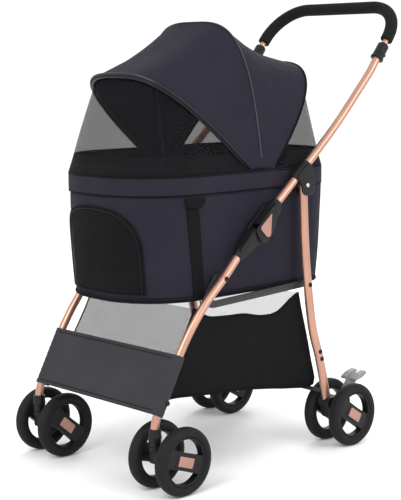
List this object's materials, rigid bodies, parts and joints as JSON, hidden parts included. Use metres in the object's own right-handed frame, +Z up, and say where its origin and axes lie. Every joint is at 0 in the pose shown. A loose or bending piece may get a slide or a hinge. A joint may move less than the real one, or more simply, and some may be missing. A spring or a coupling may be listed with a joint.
{
  "type": "folding pet stroller",
  "caption": "Folding pet stroller: tubular folding frame with push handle, lift-off mesh-windowed carrier under a hooped canopy, storage basket and twin caster wheels.",
  "frame": {"origin": "on the floor under the middle of the overall length and width", "axes": "+Z up, -Y towards the front (the way it is pushed), +X towards the left of the person pushing"},
  "size_m": [0.4754, 0.7788, 0.9556],
  "materials": {
    "copper_tube": "satin rose-gold lacquer over steel tube",
    "copper_plate": "metallic rose-gold plastic",
    "black_plastic": "fine moulded grain",
    "black_metal": "satin black powder coat",
    "hoop_rod": "smooth springy rod",
    "foam": "closed-cell foam, matt",
    "steel": "turned",
    "grey_plastic": "fine moulded grain",
    "wheel_rubber": "matt foamed rubber with a plain tread",
    "charcoal_fabric": "woven polyester, slightly violet",
    "panel_fabric": "heavy woven polyester",
    "black_mesh": "fine open mesh",
    "board": "stiff board in a fabric sleeve",
    "plush": "short plush"
  },
  "bodies": {
    "front_frame": {"front_leg_left": "copper_tube", "front_leg_right": "copper_tube", "fold_housing_lower_left": "black_plastic", "fold_housing_lower_right": "black_plastic", "front_cross_bar": "black_metal", "front_panel": "panel_fabric", "storage_basket": "black_mesh", "caster_socket_left": "black_plastic", "caster_socket_right": "black_plastic"},
    "push_frame": {"fold_housing_upper_left": "black_plastic", "fold_housing_upper_right": "black_plastic", "push_tube_left": "copper_tube", "push_tube_right": "copper_tube", "leg_bracket_left": "black_plastic", "leg_bracket_right": "black_plastic", "handle_collar_left": "black_plastic", "handle_collar_right": "black_plastic"},
    "handle": {"handle_bar": "copper_tube", "handle_grip": "foam"},
    "handle_button_left": {"handle_button_left": "black_plastic"},
    "handle_button_right": {"handle_button_right": "black_plastic"},
    "fold_latch_left": {"fold_latch_left": "copper_plate"},
    "fold_latch_right": {"fold_latch_right": "copper_plate"},
    "rear_frame": {"rear_leg_left": "copper_tube", "rear_leg_right": "copper_tube", "rear_cross_bar": "black_metal", "rear_wheel_bracket_left": "black_plastic", "rear_wheel_bracket_right": "black_plastic", "rear_axle_left": "steel", "rear_axle_right": "steel"},
    "brake_pedal_left": {"brake_pedal_left": "grey_plastic"},
    "brake_pedal_right": {"brake_pedal_right": "grey_plastic"},
    "side_rails": {"side_rail_left": "black_metal", "side_rail_right": "black_metal"},
    "caster_left": {"caster_fork_left": "black_plastic", "front_axle_left": "steel"},
    "caster_right": {"caster_fork_right": "black_plastic", "front_axle_right": "steel"},
    "wheel_front_left_outer": {"wheel_front_left_outer": "wheel_rubber"},
    "wheel_front_left_inner": {"wheel_front_left_inner": "wheel_rubber"},
    "wheel_front_right_outer": {"wheel_front_right_outer": "wheel_rubber"},
    "wheel_front_right_inner": {"wheel_front_right_inner": "wheel_rubber"},
    "wheel_rear_left_outer": {"wheel_rear_left_outer": "wheel_rubber"},
    "wheel_rear_left_inner": {"wheel_rear_left_inner": "wheel_rubber"},
    "wheel_rear_right_outer": {"wheel_rear_right_outer": "wheel_rubber"},
    "wheel_rear_right_inner": {"wheel_rear_right_inner": "wheel_rubber"},
    "carrier": {"carrier_body": "charcoal_fabric", "carrier_rim": "charcoal_fabric", "floor_board": "board", "cushion": "plush", "rear_bow": "hoop_rod", "rear_screen": "black_mesh", "front_screen": "black_mesh", "rear_pocket": "black_mesh", "canopy_cover": "charcoal_fabric"},
    "canopy_front_bow": {"front_bow": "hoop_rod"},
    "canopy_middle_bow": {"middle_bow": "hoop_rod"},
    "front_door": {"front_door": "black_mesh"}
  },
  "joints": [
    {"name": "frame_fold", "type": "hinge", "parent": "front_frame", "child": "push_frame", "pos_m": [0, -0.07533, 0.476], "axis": [-1, 0, 0], "range_deg": [0, 125]},
    {"name": "rear_leg_fold", "type": "hinge", "parent": "push_frame", "child": "rear_frame", "pos_m": [0, 0.05367, 0.573], "axis": [1, 0, 0], "range_deg": [0, 79.25]},
    {"name": "side_rail_fold", "type": "hinge", "parent": "front_frame", "child": "side_rails", "pos_m": [0, -0.17533, 0.401], "axis": [-1, 0, 0], "range_deg": [0, 88.83]},
    {"name": "handle_slide", "type": "slide", "parent": "push_frame", "child": "handle", "axis": [0, 0.6225, 0.7826], "range_m": [0, 0.04]},
    {"name": "handle_button_press_left", "type": "slide", "parent": "push_frame", "child": "handle_button_left", "axis": [0, -0.7826, 0.6225], "range_m": [0, 0.003], "stiffness_N_per_m": 400, "springref_m": -0.002},
    {"name": "handle_button_press_right", "type": "slide", "parent": "push_frame", "child": "handle_button_right", "axis": [0, -0.7826, 0.6225], "range_m": [0, 0.003], "stiffness_N_per_m": 400, "springref_m": -0.002},
    {"name": "fold_latch_slide_left", "type": "slide", "parent": "push_frame", "child": "fold_latch_left", "axis": [0, 0.7431, 0.6691], "range_m": [0, 0.006], "stiffness_N_per_m": 300, "springref_m": -0.002},
    {"name": "fold_latch_slide_right", "type": "slide", "parent": "push_frame", "child": "fold_latch_right", "axis": [0, 0.7431, 0.6691], "range_m": [0, 0.006], "stiffness_N_per_m": 300, "springref_m": -0.002},
    {"name": "brake_press_left", "type": "hinge", "parent": "rear_frame", "child": "brake_pedal_left", "pos_m": [0.186, 0.17767, 0.096], "axis": [-1, 0, 0], "range_deg": [0, 16]},
    {"name": "brake_press_right", "type": "hinge", "parent": "rear_frame", "child": "brake_pedal_right", "pos_m": [-0.186, 0.17767, 0.096], "axis": [-1, 0, 0], "range_deg": [0, 16]},
    {"name": "caster_swivel_left", "type": "hinge", "parent": "front_frame", "child": "caster_left", "pos_m": [0.186, -0.35933, 0.098], "axis": [0, 0, 1], "continuous": true},
    {"name": "caster_swivel_right", "type": "hinge", "parent": "front_frame", "child": "caster_right", "pos_m": [-0.186, -0.35933, 0.098], "axis": [0, 0, 1], "continuous": true},
    {"name": "wheel_front_left_outer_spin", "type": "hinge", "parent": "caster_left", "child": "wheel_front_left_outer", "pos_m": [0.2247, -0.32193, 0.0675], "axis": [-1, 0, 0], "continuous": true},
    {"name": "wheel_front_left_inner_spin", "type": "hinge", "parent": "caster_left", "child": "wheel_front_left_inner", "pos_m": [0.1473, -0.32193, 0.0675], "axis": [-1, 0, 0], "continuous": true},
    {"name": "wheel_front_right_outer_spin", "type": "hinge", "parent": "caster_right", "child": "wheel_front_right_outer", "pos_m": [-0.2247, -0.32193, 0.0675], "axis": [-1, 0, 0], "continuous": true},
    {"name": "wheel_front_right_inner_spin", "type": "hinge", "parent": "caster_right", "child": "wheel_front_right_inner", "pos_m": [-0.1473, -0.32193, 0.0675], "axis": [-1, 0, 0], "continuous": true},
    {"name": "wheel_rear_left_outer_spin", "type": "hinge", "parent": "rear_frame", "child": "wheel_rear_left_outer", "pos_m": [0.2211, 0.17327, 0.0675], "axis": [-1, 0, 0], "continuous": true},
    {"name": "wheel_rear_left_inner_spin", "type": "hinge", "parent": "rear_frame", "child": "wheel_rear_left_inner", "pos_m": [0.1509, 0.17327, 0.0675], "axis": [-1, 0, 0], "continuous": true},
    {"name": "wheel_rear_right_outer_spin", "type": "hinge", "parent": "rear_frame", "child": "wheel_rear_right_outer", "pos_m": [-0.2211, 0.17327, 0.0675], "axis": [-1, 0, 0], "continuous": true},
    {"name": "wheel_rear_right_inner_spin", "type": "hinge", "parent": "rear_frame", "child": "wheel_rear_right_inner", "pos_m": [-0.1509, 0.17327, 0.0675], "axis": [-1, 0, 0], "continuous": true},
    {"name": "carrier_lift", "type": "slide", "parent": "front_frame", "child": "carrier", "axis": [0, 0, 1], "range_m": [0, 0.25]},
    {"name": "canopy_fold", "type": "hinge", "parent": "carrier", "child": "canopy_front_bow", "pos_m": [0, -0.06433, 0.606], "axis": [-1, 0, 0], "range_deg": [0, 60], "deforming": ["canopy_cover", "front_screen"]},
    {"name": "canopy_middle_fold", "type": "hinge", "parent": "carrier", "child": "canopy_middle_bow", "pos_m": [0, -0.03433, 0.606], "axis": [-1, 0, 0], "range_deg": [0, 30.1]},
    {"name": "front_door_hinge", "type": "hinge", "parent": "carrier", "child": "front_door", "pos_m": [0, -0.34983, 0.373], "axis": [1, 0, 0], "range_deg": [0, 110]}
  ],
  "couplings": [
    {"joint": "rear_leg_fold", "follows": "frame_fold", "ratio": 0.63313},
    {"joint": "side_rail_fold", "follows": "frame_fold", "ratio": 0.70986},
    {"joint": "canopy_middle_fold", "follows": "canopy_fold", "ratio": 0.5}
  ]
}
